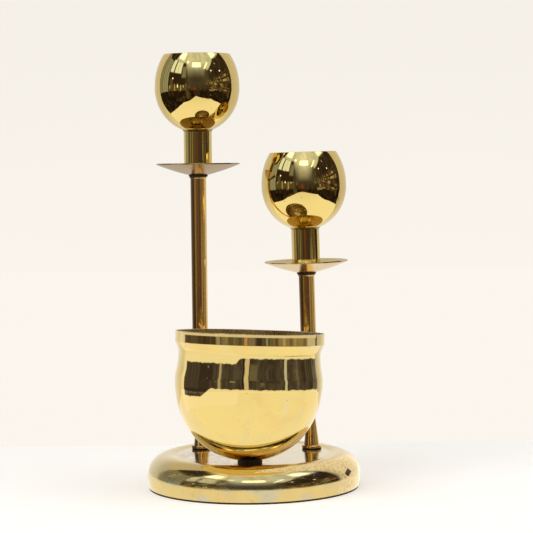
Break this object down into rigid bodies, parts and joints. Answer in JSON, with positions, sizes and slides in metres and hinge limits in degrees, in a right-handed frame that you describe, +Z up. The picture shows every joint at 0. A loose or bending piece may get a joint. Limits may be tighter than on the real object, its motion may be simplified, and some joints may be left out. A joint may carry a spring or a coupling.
{
  "type": "votive candle rack",
  "caption": "Brass candle stand: round weighted base, tall and short posts with drip pans and lift-off ball-shaped votive cups, and a loose round-bottomed bowl in front.",
  "frame": {"origin": "on the axis of the round base, on the surface the stand rests on", "axes": "+Z up along the posts; -Y to the front, towards the bowl; the tall post is on the -X side"},
  "size_m": [0.1764, 0.194, 0.3593],
  "materials": {
    "polished_brass": "mirror-polished lacquer-free brass, lightly tarnished",
    "cast_iron": "rough cast, bare",
    "felt": "dark brown wool felt",
    "zinc_steel": "zinc-plated",
    "black_rubber": "matt moulded rubber",
    "black_fibre": "matt vulcanised fibre"
  },
  "bodies": {
    "stand": {"base_shell": "polished_brass", "base_weight": "cast_iron", "felt_pad": "felt", "base_nuts": "zinc_steel", "base_washers": "zinc_steel", "bowl_seat": "black_rubber", "seat_screw": "zinc_steel", "seat_washer": "zinc_steel", "seat_nut": "zinc_steel", "foot_washer_left": "black_fibre", "post_foot_left": "polished_brass", "post_tube_left": "polished_brass", "top_collar_left": "polished_brass", "pan_washer_left": "black_fibre", "drip_pan_left": "polished_brass", "candle_socket_left": "polished_brass", "socket_nut_left": "zinc_steel", "tie_rod_left": "zinc_steel", "foot_washer_right": "black_fibre", "post_foot_right": "polished_brass", "post_tube_right": "polished_brass", "top_collar_right": "polished_brass", "pan_washer_right": "black_fibre", "drip_pan_right": "polished_brass", "candle_socket_right": "polished_brass", "socket_nut_right": "zinc_steel", "tie_rod_right": "zinc_steel"},
    "votive_cup_left": {"cup_peg_left": "polished_brass", "candle_cup_left": "polished_brass", "cup_nut_left": "polished_brass"},
    "votive_cup_right": {"cup_peg_right": "polished_brass", "candle_cup_right": "polished_brass", "cup_nut_right": "polished_brass"},
    "flower_bowl": {"bowl": "polished_brass"}
  },
  "joints": [
    {"name": "cup_left_lift", "type": "slide", "parent": "stand", "child": "votive_cup_left", "axis": [0.0017, 0, 1], "range_m": [0, 0.025]},
    {"name": "cup_right_lift", "type": "slide", "parent": "stand", "child": "votive_cup_right", "axis": [-0.0192, 0, 0.9998], "range_m": [0, 0.025]},
    {"name": "bowl_lift", "type": "slide", "parent": "stand", "child": "flower_bowl", "axis": [0, 0, 1], "range_m": [0, 0.04]}
  ]
}
